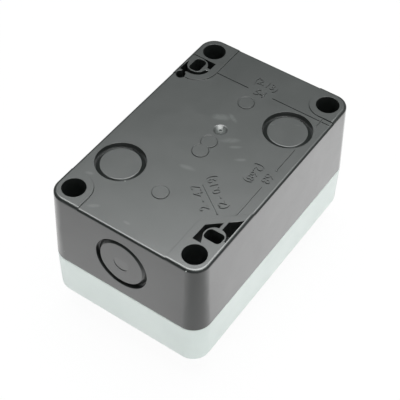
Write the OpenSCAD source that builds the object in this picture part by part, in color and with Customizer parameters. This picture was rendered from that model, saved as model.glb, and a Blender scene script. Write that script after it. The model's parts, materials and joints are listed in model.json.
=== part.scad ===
// Control station with two pushbuttons, lying face down on its button rims with its back up.
// The origin is in the plane of the rims, under the middle of the case. Z points to the back,
// Y runs along the case from the lower button to the upper one, and X runs across it.

/* [Case] */
// Width of the case at the joint of base and cover
case_w = 68; // [68:1:80]
// Length of the case at the joint
case_l = 105; // [103:1:130]
// Height of the base from the joint to the top of its corner pads
base_h = 33; // [33:1:45]
// Depth of the cover from the joint to its front face
cover_h = 20; // [20:1:28]
// Radius of the upright corners
corner_r = 7.5; // [7:0.5:8]
// Radius of the edge round the back
back_edge_r = 1.2; // [0.6:0.1:1.6]
// Radius of the edge round the front
front_edge_r = 2; // [1:0.1:2.6]
// How far each base wall leans inwards over its height
base_lean = 1.1; // [0.8:0.1:1.4]
// How far each cover wall leans inwards
cover_lean = 0.3; // [0.1:0.1:0.5]
// Thickness of the base walls
base_wall = 3.2; // [2.9:0.1:3.4]
// Thickness of the back plate
back_t = 3; // [2.6:0.1:3.4]
// Thickness of the cover walls, which hold the seal groove
cover_wall = 4.8; // [4.6:0.1:5.4]
// Thickness of the front panel that carries the buttons
panel_t = 3; // [2:0.1:3.6]

/* [Screw pillars] */
// Distance of the pillars from the long sides
pillar_inset_x = 8; // [7.8:0.1:8.4]
// Distance of the pillars from the short sides
pillar_inset_y = 8.3; // [8:0.1:8.6]
// Outer radius of a pillar
pillar_r = 6.4; // [6.2:0.1:6.6]
// Radius of the cored hole at the back of a pillar
core_mouth_r = 4.45; // [3.8:0.05:4.6]
// Radius of the cored hole at its bottom
core_floor_r = 4.2; // [3.6:0.05:4.4]
// Depth of the cored hole
core_depth = 22; // [12:1:23]
// Radius of the cover screw's thread
screw_r = 1.95; // [1.5:0.05:2]
// Radius of the cover screw's head
screw_head_r = 3.6; // [3.2:0.1:3.8]
// Height of the cover screw's head
screw_head_h = 2.6; // [2:0.1:2.8]
// Depth of the recess that the head lies in
screw_recess = 3.4; // [3:0.1:4]
// Length of thread that goes into a pillar
screw_bite = 9; // [6:0.5:10]

/* [Seal] */
// Distance of the seal groove from the outside
groove_inset = 1.6; // [1.5:0.1:1.8]
// Width of the seal groove
groove_w = 2.4; // [2.2:0.1:2.6]
// Depth of the seal groove
groove_depth = 2.4; // [2.2:0.1:3]
// Width of the rib on the base that presses the seal
tongue_w = 1.1; // [0.9:0.1:1.2]
// Height of that rib
tongue_h = 1.1; // [0.8:0.1:1.2]

/* [Wall fixing] */
// Spacing of the two fixing slots across the case
slot_span_x = 54; // [53:0.5:55]
// Spacing of the two fixing slots along the case
slot_span_y = 68; // [67:0.5:69]
// Width of a fixing slot
slot_w = 4.7; // [4.2:0.1:4.9]
// Length of a fixing slot
slot_l = 6.8; // [5.4:0.1:7]
// Radius of a slot's corners
slot_corner_r = 1.6; // [1:0.1:2]
// Radius of the boss round a slot
slot_boss_r = 4.1; // [4:0.1:4.3]
// Distance of the pocket's outer edge from the slot's centre
pocket_r = 5.6; // [5.2:0.1:5.8]
// Depth of the pockets
pocket_depth = 8; // [5:0.5:10]
// Width of the web that ties a boss to the edge of its pocket
web_w = 1.3; // [1:0.1:1.6]
// Distance of a slot pad's edge from the slot's centre
slot_pad_r = 8.5; // [8:0.1:9]
// Radius of the plain corner pads
corner_pad_r = 7.1; // [6.8:0.1:7.6]
// Height of the pads above the back plate
pad_rise = 0.4; // [0.3:0.1:0.6]
// Slope of the slanted edge of the lower slot pad, in degrees
pad_slope = 42; // [38:1:46]

/* [Cable entries] */
// Outer radius of the groove of an end entry
end_entry_r = 11.2; // [9:0.1:11.4]
// Width of the groove of an end entry
end_groove_w = 0.9; // [0.6:0.1:1.2]
// Bevel on the disc of an end entry
end_disc_bevel = 1.1; // [0.6:0.1:1.4]
// Height of the end entries above the joint
end_entry_rise = 16.4; // [14:0.2:17]
// Outer radius of the recess of a back entry
back_entry_r = 9.5; // [8:0.1:9.6]
// Width of the groove in a back entry
back_groove_w = 1.5; // [1:0.05:1.6]
// Depth of the disc of a back entry below the back plate
disc_sink = 1; // [0.6:0.1:1.2]
// Distance of the back entries from the middle across the case
back_entry_x = 20.4; // [19:0.1:20.8]
// Distance of the back entries from the middle along the case
back_entry_y = 24.4; // [24:0.1:25]
// Thickness left under the groove of an end entry
membrane_t = 1.2; // [0.9:0.1:1.4]
// Thickness left under the groove of a back entry
back_membrane_t = 0.6; // [0.5:0.1:1]

/* [Pushbuttons] */
// Spacing of the two buttons
button_pitch = 30; // [30:0.5:32]
// Height of a button's rim in front of the cover
head_rise = 11; // [11:0.5:13]
// Radius of the bezel at the cover
bezel_r = 14.5; // [13.8:0.1:14.7]
// Radius of the bezel at its rim
rim_r = 13.4; // [12.8:0.1:13.6]
// Outer radius of the threaded body
thread_r = 11; // [10.9:0.05:11.1]
// Depth of the threaded body behind the cover's front face
thread_l = 13.5; // [12.5:0.5:14]
// Bore of the threaded body
bore_r = 8.9; // [8.7:0.1:9.1]
// Radius of the cap
cap_r = 11.3; // [10.8:0.1:11.4]
// Travel of a button
travel = 4; // [3:0.1:4]
// Radius of the stem in its guide
stem_r = 4.95; // [4.6:0.05:5.2]
// Size of the fixing nut across its flats
nut_flats = 26; // [25:0.5:27]
// Height of the fixing nut
nut_h = 5; // [4:0.5:6]

/* [Contact blocks] */
// Length of a contact block across the case
block_l = 46; // [44:1:46]
// Width of a contact block along the case
block_w = 14; // [14:0.5:15]
// Height of a block's middle, from its seat to the face with the plunger
block_h = 27.8; // [27.8:0.1:28.2]
// Height of a block's terminal shoulders above its seat
shoulder_h = 18.2; // [18:0.1:18.6]
// Length of a block's middle across the case
tower_l = 22; // [20:1:24]
// Side of the square plunger
plunger_w = 6.4; // [6:0.1:6.6]
// Distance of the terminal screws from the middle
terminal_x = 17.5; // [17.4:0.1:18]
// Thickness of the terminal strips
strip_t = 0.8; // [0.6:0.1:1]
// Width of the terminal strips
strip_w = 8.4; // [7:0.1:8.6]

/* [Hidden] */
$fn = 96;
// Faces of small round pieces
small_fn = 40;
// Steps of a rounded edge
edge_steps = 6;
// Overrun of every cut past the face it opens
over = 0.5;
// Gap between pieces of one body that would otherwise press on each other
seat_gap = 0.05;
// Gap between a moving piece and its guide
slide_gap = 0.1;
// Gap between pieces that pass each other freely
free_gap = 0.3;

// Heights of the main planes
z_face = head_rise;
z_panel = z_face + panel_t;
z_joint = z_face + cover_h;
z_back = z_joint + base_h;
z_plate = z_back - pad_rise;
z_ceiling = z_plate - back_t;

// Places of the pillars, the slots and the buttons
pillar_x = case_w / 2 - pillar_inset_x;
pillar_y = case_l / 2 - pillar_inset_y;
slot_x = slot_span_x / 2;
slot_y = slot_span_y / 2;
start_y = button_pitch / 2;
stop_y = -button_pitch / 2;

// Corner of the base's inside, and fillets there
inner_edge_r = 1;
joint_chamfer = 0.25;
// Wall between a pocket and the outside of the case
pocket_skin = 1.3;
// Wall round a pocket inside the case
pocket_wall = 1.8;
// Distances from the lower slot's centre to the corners of its pocket
pocket_low = 4.9;
pocket_shoulder = 2.5;
// Distance from the upper slot's centre to the straight end of its pocket
pocket_top = 4.5;
// Foot of the slanted side under the lower boss
boss_foot_x = 1.9;
boss_side_x = 3.3;
boss_side_y = 2.3;
// Radius of the rounded corner of the lower slot pad
pad_corner_r = 3;
// Vent hole beside the upper pocket
vent_r = 1.85;
vent_x = 2.5;
vent_y = 8;
vent_neck_w = 1.4;

// Seam between the upper boss and its pillar's pad
pad_seam_w = 0.35;

// Raised discs over the ejector pins, as shares of half the length
ejector_shares = [0.522, 0.046, -0.063, -0.533];
ejector_r = 3.1;
ejector_rise = 0.2;
// The feed point of the moulding, with a small collar round its pin hole
gate_share = 0.188;
gate_r = 2.7;
gate_depth = 0.9;
gate_nub_r = 0.95;
gate_nub_h = 0.55;
gate_pin_r = 0.55;
// Bevel on the disc of a back entry, and widths of the floors of the entries' grooves
back_disc_bevel = 0.35;
back_floor_w = 0.35;
end_floor_w = 0.5;
// Mark in the middle of an end entry, and its notch for a screwdriver
entry_mark_r = 3.2;
entry_mark_depth = 0.08;
pry_notch_x = 1.9;
pry_notch_w = 3.6;
pry_notch_d = 1.2;

// Details of the cover screws, their washers and the gasket
retainer_t = 1;
retainer_r = 3.2;
gasket_h = 1.2;
cross_size = 4.2;
cross_w = 0.9;
cross_depth = 1.5;
tip_chamfer = 0.8;

// Sides of the tube of a spring, and its rings to a turn
ring_sides = 6;
turn_rings = 8;

// Details of the buttons
panel_seal_t = 0.8;
hole_gap = 0.15;
rim_chamfer = 0.6;
cone_h = 8;
cap_sink = 0.4;
cap_t = 2.2;
cap_dish = 0.45;
cap_chamfer = 0.5;
skirt_h = 1.8;
skirt_t = 1.4;
chamber_gap = 0.4;
hub_r = 6.2;
spigot_r = 4;
spigot_l = 5.4;
lip_t = 0.6;
lip_r = 7;
stem_seal_t = 1.2;
stem_seal_gap = 0.2;
stem_flange_r = 8.6;
stem_flange_t = 2.3;
guide_t = 2;
stem_chamfer = 0.6;
key_w = 2.8;
key_rise = 0.9;
nut_chamfer = 0.8;
return_wire_r = 0.35;
return_coil_r = 6.9;
return_turns = 5;

// Heights inside a button
z_flange = z_face - panel_seal_t;
z_chamber = cap_sink + cap_t + skirt_h + travel + free_gap;
z_lip = z_chamber + lip_t;
z_stem_top = z_lip + stem_seal_t + free_gap + slide_gap;
z_stem_flange = z_stem_top + stem_flange_t;
z_thread_end = z_face + thread_l;
z_guide = z_thread_end - guide_t;

// Details of the contact blocks
seat_rise = 2;
ear_x = 13;
ear_y = 10.5;
ear_r = 4;
ear_t = 3;
boss_r = 3.4;
block_screw_r = 1.45;
block_screw_head_r = 2.9;
block_screw_head_h = 2;
block_screw_bite = 3.4;
block_cross = 3.2;
block_cross_w = 0.7;
block_cross_depth = 1.1;
block_wall = 2.4;
lid_t = 1.4;
lid_gap = 0.2;
shaft_gap = 0.4;
partition_t = 1;
slide_room = 0.6;
chamber_room = 2.6;
driver_r = 3.5;
terminal_screw_r = 1.7;
terminal_head_r = 3.1;
terminal_head_h = 2.4;
terminal_slot_w = 0.8;
terminal_slot_depth = 1.1;
clamp_w = 7.4;
clamp_t = 1;
strip_seat = 7.5;
strip_end = 21.5;
wire_gap = 3.2;
tip_x = 6;
tip_r = 1.5;
tip_t = 0.6;
contact_gap = 0.1;
bridge_half_l = 8;
bridge_w = 4;
bridge_t = 0.8;
strip_inner_x = 4.4;
strip_leg_x = 11.6;
low_strip_drop = 8.1;
terminal_tail = 1.6;
window_h = 4.4;
plunger_nose_r = 2.9;
plunger_nose_h = 3;
nose_clearance = 0.6;
contact_wire_r = 0.2;
contact_coil_r = 1.6;
contact_turns = 3;
plunger_wire_r = 0.22;
plunger_coil_r = 2.3;
plunger_turns = 5;
plunger_spring_l = 7;
spring_floor_t = 1;

// Heights of the contact blocks, counted from their seats on the base
z_seat = z_ceiling - seat_rise;
z_nose = z_seat - block_h;
z_shoulder = z_seat - shoulder_h;
z_strip = z_seat - strip_seat - strip_t;
z_plunger_tip = z_nose - travel - nose_clearance;
z_stem_tip = z_plunger_tip - free_gap - slide_gap;
z_plunger_end = z_seat - spring_floor_t - plunger_spring_l;
z_low_strip = z_strip - low_strip_drop;
z_clamp = z_strip - wire_gap - clamp_t;
z_head = z_clamp - seat_gap - terminal_head_h;
z_middle_low = z_low_strip - slide_room;
z_chamber_high = z_strip + strip_t + chamber_room;
z_screw_top = z_joint + screw_bite;
shaft_half = plunger_w / 2 + shaft_gap;
middle_half = strip_leg_x + strip_t + slide_gap;

// Rounded edge as a list of [inset, height]: it starts upright at the side and ends on the level face
function edge_round(inset, z, r, dir) = [
    for (i = [0 : edge_steps]) let (t = 90 * i / edge_steps)
        [inset + r * (1 - cos(t)), z + dir * (r * sin(t) - r)]
];
function backwards(list) = [for (i = [len(list) - 1 : -1 : 0]) list[i]];

// Points of an arc that rounds corner b of the outline a, b, c
function unit(v) = v / norm(v);
function rounded_corner(a, b, c, r) =
    let (u = unit(a - b), v = unit(c - b))
    let (half = acos(u * v) / 2, m = b + unit(u + v) * r / sin(half))
    let (p = b + u * r / tan(half) - m, q = b + v * r / tan(half) - m)
    [
        for (i = [0 : edge_steps])
            let (w = unit(p * (1 - i / edge_steps) + q * i / edge_steps)) m + w * r
    ];

// Block with round upright corners whose sides follow a list of [inset, height]
module profiled_block(half_x, half_y, r, profile) {
    core_x = half_x - r;
    core_y = half_y - r;
    low = profile[0][1];
    high = profile[len(profile) - 1][1];
    for (sx = [-1, 1], sy = [-1, 1])
        translate([sx * core_x, sy * core_y, 0])
            rotate_extrude()
                polygon(concat([[0, low]], [for (p = profile) [r - p[0], p[1]]], [[0, high]]));
    rotate([90, 0, 0])
        linear_extrude(2 * core_y, center = true)
            polygon(concat([for (p = profile) [half_x - p[0], p[1]]],
                           [for (p = backwards(profile)) [p[0] - half_x, p[1]]]));
    rotate([90, 0, 90])
        linear_extrude(2 * core_x, center = true)
            polygon(concat([for (p = profile) [half_y - p[0], p[1]]],
                           [for (p = backwards(profile)) [p[0] - half_y, p[1]]]));
}

// Flat rectangle with round corners
module rounded_rect(w, l, r) {
    square([w, l - 2 * r], center = true);
    square([w - 2 * r, l], center = true);
    for (sx = [-1, 1], sy = [-1, 1])
        translate([sx * (w / 2 - r), sy * (l / 2 - r)]) circle(r = r);
}

// Puts a copy at each of the four pillars
module at_pillars() {
    for (sx = [-1, 1], sy = [-1, 1]) translate([sx * pillar_x, sy * pillar_y]) children();
}

// Ring between two radii
module ring(outer, inner, h) {
    difference() {
        cylinder(r = outer, h = h);
        translate([0, 0, -over]) cylinder(r = inner, h = h + 2 * over);
    }
}

// Outline of the joint, moved inwards and led round the pillars
module joint_outline(inset) {
    difference() {
        rounded_rect(case_w - 2 * inset, case_l - 2 * inset, corner_r - inset);
        at_pillars() circle(r = pillar_r - base_wall + inset);
    }
}
module joint_ring(outer_inset, inner_inset) {
    difference() {
        joint_outline(outer_inset);
        joint_outline(inner_inset);
    }
}

// Area that fills the corner of the case outwards from a point and turns round it with radius r
module corner_area(r) {
    circle(r = r);
    translate([-r, 0]) square([case_w, case_w]);
    translate([0, -r]) square([case_w, case_w]);
}
module at_upper_slot() { translate([-slot_x, slot_y]) mirror([1, 0]) children(); }
module at_lower_slot() { translate([slot_x, -slot_y]) mirror([0, 1]) children(); }

// Area round the lower slot, with its slanted side, counted from the slot outwards
module slanted_area(r) {
    rise = (r - pocket_r) / cos(pad_slope);
    top = -pocket_shoulder - rise + (r - pocket_r) * tan(pad_slope);
    far = -pocket_shoulder - rise - (pocket_r + case_w) * tan(pad_slope);
    corner = rounded_corner([-r, case_w], [-r, top], [case_w, far], pad_corner_r);
    polygon(concat([[case_w, case_w], [-r, case_w]], corner, [[case_w, far]]));
}

module fixing_slot(w, l) { rounded_rect(w, l, slot_corner_r); }

// Raised pads in the four corners of the back
module pads_flat() {
    mirror([1, 0]) mirror([0, 1]) translate([pillar_x, pillar_y]) corner_area(corner_pad_r);
    translate([pillar_x, pillar_y]) corner_area(corner_pad_r);
    at_upper_slot() corner_area(slot_pad_r);
    at_lower_slot() slanted_area(slot_pad_r);
}

// Discs over the ejector pins
module ejector_flat() {
    for (share = ejector_shares) translate([0, share * case_l / 2]) circle(r = ejector_r);
}

// Seam between the upper boss and the pad of its pillar, counted from the slot outwards
module pad_seam_flat() {
    translate([0, pocket_top - pad_seam_w])
        square([case_w / 2 - base_lean - pocket_skin - slot_x, pad_seam_w]);
}

// Pocket round the boss of the upper slot
module upper_pocket_flat() {
    skin_x = case_w / 2 - base_lean - pocket_skin - slot_x;
    difference() {
        intersection() {
            corner_area(pocket_r);
            translate([-case_w, -case_w]) square([case_w + skin_x, case_w + pocket_top]);
        }
        circle(r = slot_boss_r);
        square([case_w, case_w]);
        translate([-case_w, -web_w / 2]) square([case_w, web_w]);
    }
}

// Pocket round the boss of the lower slot
module lower_pocket_flat() {
    skin_x = case_w / 2 - base_lean - pocket_skin - slot_x;
    difference() {
        polygon([
            [-pocket_r, pocket_low], [-pocket_r, -pocket_shoulder],
            [skin_x, -pocket_shoulder - (pocket_r + skin_x) * tan(pad_slope)], [skin_x, pocket_low]
        ]);
        circle(r = slot_boss_r);
        translate([-web_w / 2, -case_w]) square([web_w, case_w]);
        polygon([
            [0, 0], [-boss_side_x, boss_side_y], [-boss_foot_x, pocket_low + over],
            [case_w, pocket_low + over], [case_w, 0]
        ]);
    }
}

// Groove and disc of a cable entry that is knocked out when it is needed: the groove narrows
// from the disc towards the outer wall, where its floor is thinnest
module entry_cut(r, groove_w, depth, sink, bevel, floor_w) {
    disc_r = r - groove_w;
    rotate_extrude() polygon([
        [0, over], [r, over], [r, -depth], [r - floor_w, -depth],
        [disc_r, -sink - bevel], [disc_r - bevel, -sink], [0, -sink]
    ]);
}
module back_entry_cut() {
    translate([0, 0, z_plate])
        entry_cut(
            back_entry_r, back_groove_w, back_t - back_membrane_t,
            disc_sink, back_disc_bevel, back_floor_w
        );
}
module end_entry_cut() {
    lean_here = base_lean * end_entry_rise / (base_h - back_edge_r);
    depth = base_wall - membrane_t;
    translate([0, -case_l / 2 + lean_here, z_joint + end_entry_rise])
        rotate([90, 0, 0]) {
            difference() {
                entry_cut(end_entry_r, end_groove_w, depth, 0, end_disc_bevel, end_floor_w);
                cylinder(r = end_entry_r - end_groove_w - end_disc_bevel, h = 2 * over);
            }
            translate([0, 0, -entry_mark_depth])
                cylinder(r = entry_mark_r, h = entry_mark_depth + over);
            translate([-pry_notch_x - pry_notch_w / 2, -end_entry_r + end_groove_w - over, -depth])
                cube([pry_notch_w, pry_notch_d + over, depth + over]);
        }
}

module base_block() {
    profiled_block(case_w / 2, case_l / 2, corner_r, concat(
        [[joint_chamfer, z_joint], [0, z_joint + joint_chamfer]],
        edge_round(base_lean, z_back, back_edge_r, 1)
    ));
}

module base_hollow() {
    profiled_block(case_w / 2 - base_wall, case_l / 2 - base_wall, corner_r - base_wall, concat(
        [[0, z_joint - over]],
        edge_round(base_lean, z_ceiling, inner_edge_r, 1)
    ));
}

module back_box() color("dimgray") difference() {
    union() {
        difference() {
            base_block();
            difference() {
                base_hollow();
                translate([0, 0, z_joint - over])
                    linear_extrude(base_h) at_pillars() circle(r = pillar_r);
                translate([0, 0, z_back - pocket_depth - pocket_wall]) linear_extrude(base_h) {
                    at_upper_slot() corner_area(pocket_r + pocket_wall);
                    at_lower_slot() slanted_area(pocket_r + pocket_wall);
                }
                for (y = [start_y, stop_y], s = [-1, 1])
                    translate([-s * ear_x, y + s * ear_y, z_seat]) cylinder(r = boss_r, h = base_h);
            }
        }
        translate([0, 0, z_joint - tongue_h]) linear_extrude(tongue_h + joint_chamfer)
            joint_ring(base_wall - tongue_w, base_wall);
    }
    translate([0, 0, z_plate]) linear_extrude(base_h) difference() {
        square([2 * case_w, 2 * case_l], center = true);
        pads_flat();
        ejector_flat();
    }
    translate([0, 0, z_plate + ejector_rise]) linear_extrude(base_h) ejector_flat();
    translate([0, 0, z_plate]) linear_extrude(base_h) at_upper_slot() pad_seam_flat();
    at_pillars() {
        translate([0, 0, z_back - core_depth])
            cylinder(r1 = core_floor_r, r2 = core_mouth_r, h = core_depth + seat_gap);
        translate([0, 0, z_joint - over - tongue_h])
            cylinder(r = screw_r + slide_gap, h = base_h + tongue_h, $fn = small_fn);
    }
    translate([0, 0, z_back - pocket_depth]) linear_extrude(base_h) {
        at_upper_slot() upper_pocket_flat();
        at_lower_slot() lower_pocket_flat();
        translate([-slot_x - vent_x, slot_y - vent_y]) circle(r = vent_r, $fn = small_fn);
        translate([-slot_x - vent_x - vent_neck_w / 2, slot_y - vent_y])
            square([vent_neck_w, vent_y - slot_boss_r]);
    }
    translate([0, 0, z_joint]) linear_extrude(2 * base_h) {
        at_upper_slot() fixing_slot(slot_w, slot_l);
        at_lower_slot() fixing_slot(slot_l, slot_w);
    }
    for (s = [-1, 1]) {
        translate([s * back_entry_x, s * back_entry_y, 0]) back_entry_cut();
        mirror([0, s > 0 ? 1 : 0, 0]) end_entry_cut();
    }
    translate([0, gate_share * case_l / 2, z_plate - gate_depth]) difference() {
        cylinder(r1 = gate_nub_r, r2 = gate_r, h = gate_depth + seat_gap);
        translate([0, 0, -over]) ring(gate_nub_r, gate_pin_r, gate_nub_h + over, $fn = small_fn);
    }
    for (y = [start_y, stop_y], s = [-1, 1])
        translate([-s * ear_x, y + s * ear_y, z_seat - over])
            cylinder(r = block_screw_r + slide_gap, h = block_screw_bite + over, $fn = small_fn);
}

module front_cover() color("gainsboro") difference() {
    profiled_block(case_w / 2, case_l / 2, corner_r, concat(
        backwards(edge_round(cover_lean, z_face, front_edge_r, -1)),
        [[0, z_joint - joint_chamfer], [joint_chamfer, z_joint]]
    ));
    translate([0, 0, z_panel]) linear_extrude(cover_h) joint_outline(cover_wall);
    translate([0, 0, z_joint - groove_depth]) linear_extrude(cover_h)
        joint_ring(groove_inset, groove_inset + groove_w);
    at_pillars() {
        translate([0, 0, z_face - over])
            cylinder(r = screw_r + free_gap, h = cover_h + 2 * over, $fn = small_fn);
        translate([0, 0, z_face - over]) cylinder(r = screw_head_r + free_gap, h = screw_recess + over);
        translate([0, 0, z_joint - retainer_t - 2 * free_gap])
            cylinder(r = retainer_r + seat_gap, h = cover_h, $fn = small_fn);
    }
    for (y = [start_y, stop_y]) translate([0, y, z_face - over]) {
        cylinder(r = thread_r + hole_gap, h = panel_t + 2 * over);
        translate([-key_w / 2 - hole_gap, 0, 0])
            cube([key_w + 2 * hole_gap, thread_r + key_rise + hole_gap, panel_t + 2 * over]);
    }
}

// Washer that keeps a cover screw in the cover
module screw_retainers() color("ivory") at_pillars()
    translate([0, 0, z_joint - retainer_t - free_gap])
        ring(retainer_r, screw_r + seat_gap, retainer_t, $fn = small_fn);

module cover_gasket() color("black") translate([0, 0, z_joint - groove_depth])
    linear_extrude(gasket_h) joint_ring(groove_inset + seat_gap, groove_inset + groove_w - seat_gap);

// Cross recess of a screw, cut from below
module cross_recess(size, w, depth) {
    for (turn = [0, 90])
        rotate(turn) translate([-size / 2, -w / 2, -over]) cube([size, w, depth + over]);
}

module cover_screws() color("silver") at_pillars() {
    z_under = z_face + screw_recess;
    difference() {
        translate([0, 0, z_under - screw_head_h]) cylinder(r = screw_head_r, h = screw_head_h);
        translate([0, 0, z_under - screw_head_h]) cross_recess(cross_size, cross_w, cross_depth);
    }
    translate([0, 0, z_under])
        cylinder(r = screw_r, h = z_screw_top - tip_chamfer - z_under, $fn = small_fn);
    translate([0, 0, z_screw_top - tip_chamfer])
        cylinder(r1 = screw_r, r2 = screw_r - tip_chamfer, h = tip_chamfer, $fn = small_fn);
}

// Ring on the front and threaded body behind it, in one piece
module bezel() color("silver") difference() {
    union() {
        rotate_extrude() polygon([
            [0, 0], [rim_r - rim_chamfer, 0], [rim_r, rim_chamfer], [bezel_r, cone_h],
            [bezel_r, z_flange], [thread_r, z_flange], [thread_r, z_thread_end], [0, z_thread_end]
        ]);
        translate([-key_w / 2, 0, z_flange]) cube([key_w, thread_r + key_rise, panel_t]);
    }
    translate([0, 0, -over]) cylinder(r = cap_r + chamber_gap, h = z_chamber + over);
    cylinder(r = lip_r, h = z_lip + over);
    translate([0, 0, z_lip]) cylinder(r = bore_r, h = thread_l + z_face);
}

module panel_seal() color("black") translate([0, 0, z_flange])
    ring(bezel_r - rim_chamfer, thread_r + key_rise + hole_gap + seat_gap, panel_seal_t);

module fixing_nut() color("dimgray") translate([0, 0, z_panel]) difference() {
    intersection() {
        cylinder(r = nut_flats / 2 / cos(30), h = nut_h, $fn = 6);
        union() {
            cylinder(r = nut_flats / 2 / cos(30), h = nut_h - nut_chamfer);
            translate([0, 0, nut_h - nut_chamfer])
                cylinder(r1 = nut_flats / 2 / cos(30), r2 = nut_flats / 2, h = nut_chamfer);
        }
    }
    translate([0, 0, -over]) cylinder(r = thread_r + seat_gap, h = nut_h + 2 * over);
}

module stem_guide() color("black") translate([0, 0, z_guide])
    ring(bore_r - seat_gap, stem_r + slide_gap, guide_t);

module stem_seal() color("black") translate([0, 0, z_lip + seat_gap])
    ring(bore_r - seat_gap, hub_r + stem_seal_gap, stem_seal_t - seat_gap);

// Flush cap with a dished face, a skirt and a hub that grips the stem
module cap(paint) color(paint) rotate_extrude() polygon(concat(
    [for (i = [0 : edge_steps]) let (r = (cap_r - cap_chamfer) * i / edge_steps)
        [r, cap_sink + cap_dish * (1 - pow(r / (cap_r - cap_chamfer), 2))]],
    [
        [cap_r, cap_sink + cap_chamfer], [cap_r, cap_sink + cap_t + skirt_h],
        [cap_r - skirt_t, cap_sink + cap_t + skirt_h], [cap_r - skirt_t, cap_sink + cap_t],
        [hub_r, cap_sink + cap_t], [hub_r, z_stem_top - seat_gap],
        [spigot_r + seat_gap, z_stem_top - seat_gap], [spigot_r + seat_gap, cap_sink + cap_t],
        [0, cap_sink + cap_t]
    ]
));

module stem() color("white") rotate_extrude() polygon([
    [0, z_stem_top - spigot_l], [spigot_r, z_stem_top - spigot_l], [spigot_r, z_stem_top],
    [stem_flange_r, z_stem_top], [stem_flange_r, z_stem_flange], [stem_r, z_stem_flange],
    [stem_r, z_stem_tip - stem_chamfer], [stem_r - stem_chamfer, z_stem_tip], [0, z_stem_tip]
]);

// Coil spring as one tube of six sides with eight rings to a turn
module coil(coil_r, wire_r, low, high, turns) {
    rings = turns * turn_rings;
    climb = (high - low - 2 * wire_r) / turns;
    points = [
        for (i = [0 : rings], j = [0 : ring_sides - 1])
            let (a = 360 * i / turn_rings, b = 360 * j / ring_sides, r = coil_r + wire_r * cos(b))
                [r * cos(a), r * sin(a), low + wire_r + climb * i / turn_rings + wire_r * sin(b)]
    ];
    sides = [
        for (i = [0 : rings - 1], j = [0 : ring_sides - 1])
            let (k = (j + 1) % ring_sides, a = i * ring_sides, b = a + ring_sides)
                each [[a + j, b + k, b + j], [a + j, a + k, b + k]]
    ];
    last = rings * ring_sides;
    ends = [
        for (j = [1 : ring_sides - 2]) each [[0, j + 1, j], [last, last + j, last + j + 1]]
    ];
    echo("least gap between turns in mm", climb - 2 * wire_r);
    polyhedron(points = points, faces = concat(sides, ends));
}

module return_spring() color("silver")
    coil(return_coil_r, return_wire_r, z_stem_flange + free_gap, z_guide - seat_gap, return_turns);

// Side view of a contact block as a flat outline, standing on its seat
module block_outline(trim) {
    polygon([
        [-block_l / 2 + trim, z_seat - trim], [-block_l / 2 + trim, z_shoulder + trim],
        [-tower_l / 2 - block_wall + trim, z_shoulder + trim],
        [-tower_l / 2 + trim, z_shoulder - block_wall + trim],
        [-tower_l / 2 + trim, z_nose + trim], [tower_l / 2 - trim, z_nose + trim],
        [tower_l / 2 - trim, z_shoulder - block_wall + trim],
        [tower_l / 2 + block_wall - trim, z_shoulder + trim],
        [block_l / 2 - trim, z_shoulder + trim], [block_l / 2 - trim, z_seat - trim]
    ]);
}

// Slab of a block between two distances from its floor side
module block_slab(from, to) {
    translate([0, from - block_w / 2, 0]) rotate([90, 0, 0]) mirror([0, 0, 1])
        linear_extrude(to - from) children();
}

module block_housing() color("white") difference() {
    union() {
        block_slab(0, block_w - lid_t) block_outline(0);
        for (s = [-1, 1]) translate([-s * ear_x, s * ear_y, z_seat - ear_t]) {
            cylinder(r = ear_r, h = ear_t);
            translate([-ear_r, s > 0 ? -ear_y + block_w / 2 - block_wall : 0, 0])
                cube([2 * ear_r, ear_y - block_w / 2 + block_wall, ear_t]);
        }
    }
    block_slab(block_w / 2 - shaft_half, block_w) translate([-shaft_half, z_nose - over])
        square([2 * shaft_half, block_h - spring_floor_t + over]);
    block_slab(block_wall, block_w) {
        translate([-middle_half, z_middle_low])
            square([2 * middle_half, z_chamber_high - z_middle_low]);
        for (s = [-1, 1]) mirror([s > 0 ? 0 : 1, 0])
            translate([middle_half + partition_t, z_head - slide_room])
                square([block_l / 2, z_chamber_high - z_head + slide_room]);
        translate([-block_l / 2, z_strip - slide_gap]) square([block_l, strip_t + 2 * slide_gap]);
    }
    for (s = [-1, 1]) {
        translate([s * terminal_x, 0, z_shoulder - over])
            cylinder(r = driver_r, h = z_head - z_shoulder + over, $fn = small_fn);
        translate([-s * ear_x, s * ear_y, z_seat - ear_t - over])
            cylinder(r = block_screw_r + seat_gap, h = ear_t + 2 * over, $fn = small_fn);
    }
}

// Side cover with a rib that guides the plunger
module block_cover() color("lightgray") {
    block_slab(block_w - lid_t + seat_gap, block_w) difference() {
        block_outline(lid_gap);
        translate([-ear_x - ear_r - lid_gap, z_seat - ear_t - lid_gap])
            square([2 * (ear_r + lid_gap), 2 * ear_t]);
    }
    block_slab(block_w / 2 + shaft_half, block_w - lid_t + 2 * seat_gap)
        translate([-plunger_w / 2, z_nose + lid_t]) square([plunger_w, z_plunger_end - z_nose - lid_t]);
}

// Height of the bridge: over open contacts it stands a travel away, over closed ones it rests
function bridge_z(open) = open ? z_strip - 2 * tip_t - contact_gap - travel - bridge_t
                               : z_low_strip + strip_t + 2 * tip_t + contact_gap;

module plunger(open) color("white") {
    zb = bridge_z(open);
    window_low = open ? zb + bridge_t + seat_gap - window_h : zb - seat_gap;
    difference() {
        union() {
            translate([-plunger_w / 2, -plunger_w / 2, z_nose - nose_clearance])
                cube([plunger_w, plunger_w, z_plunger_end - z_nose + nose_clearance]);
            translate([0, 0, z_plunger_tip])
                cylinder(r = plunger_nose_r, h = plunger_nose_h + travel, $fn = small_fn);
        }
        translate([-plunger_w, -bridge_w / 2 - seat_gap, window_low])
            cube([2 * plunger_w, bridge_w + 2 * seat_gap, window_h]);
    }
}

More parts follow.
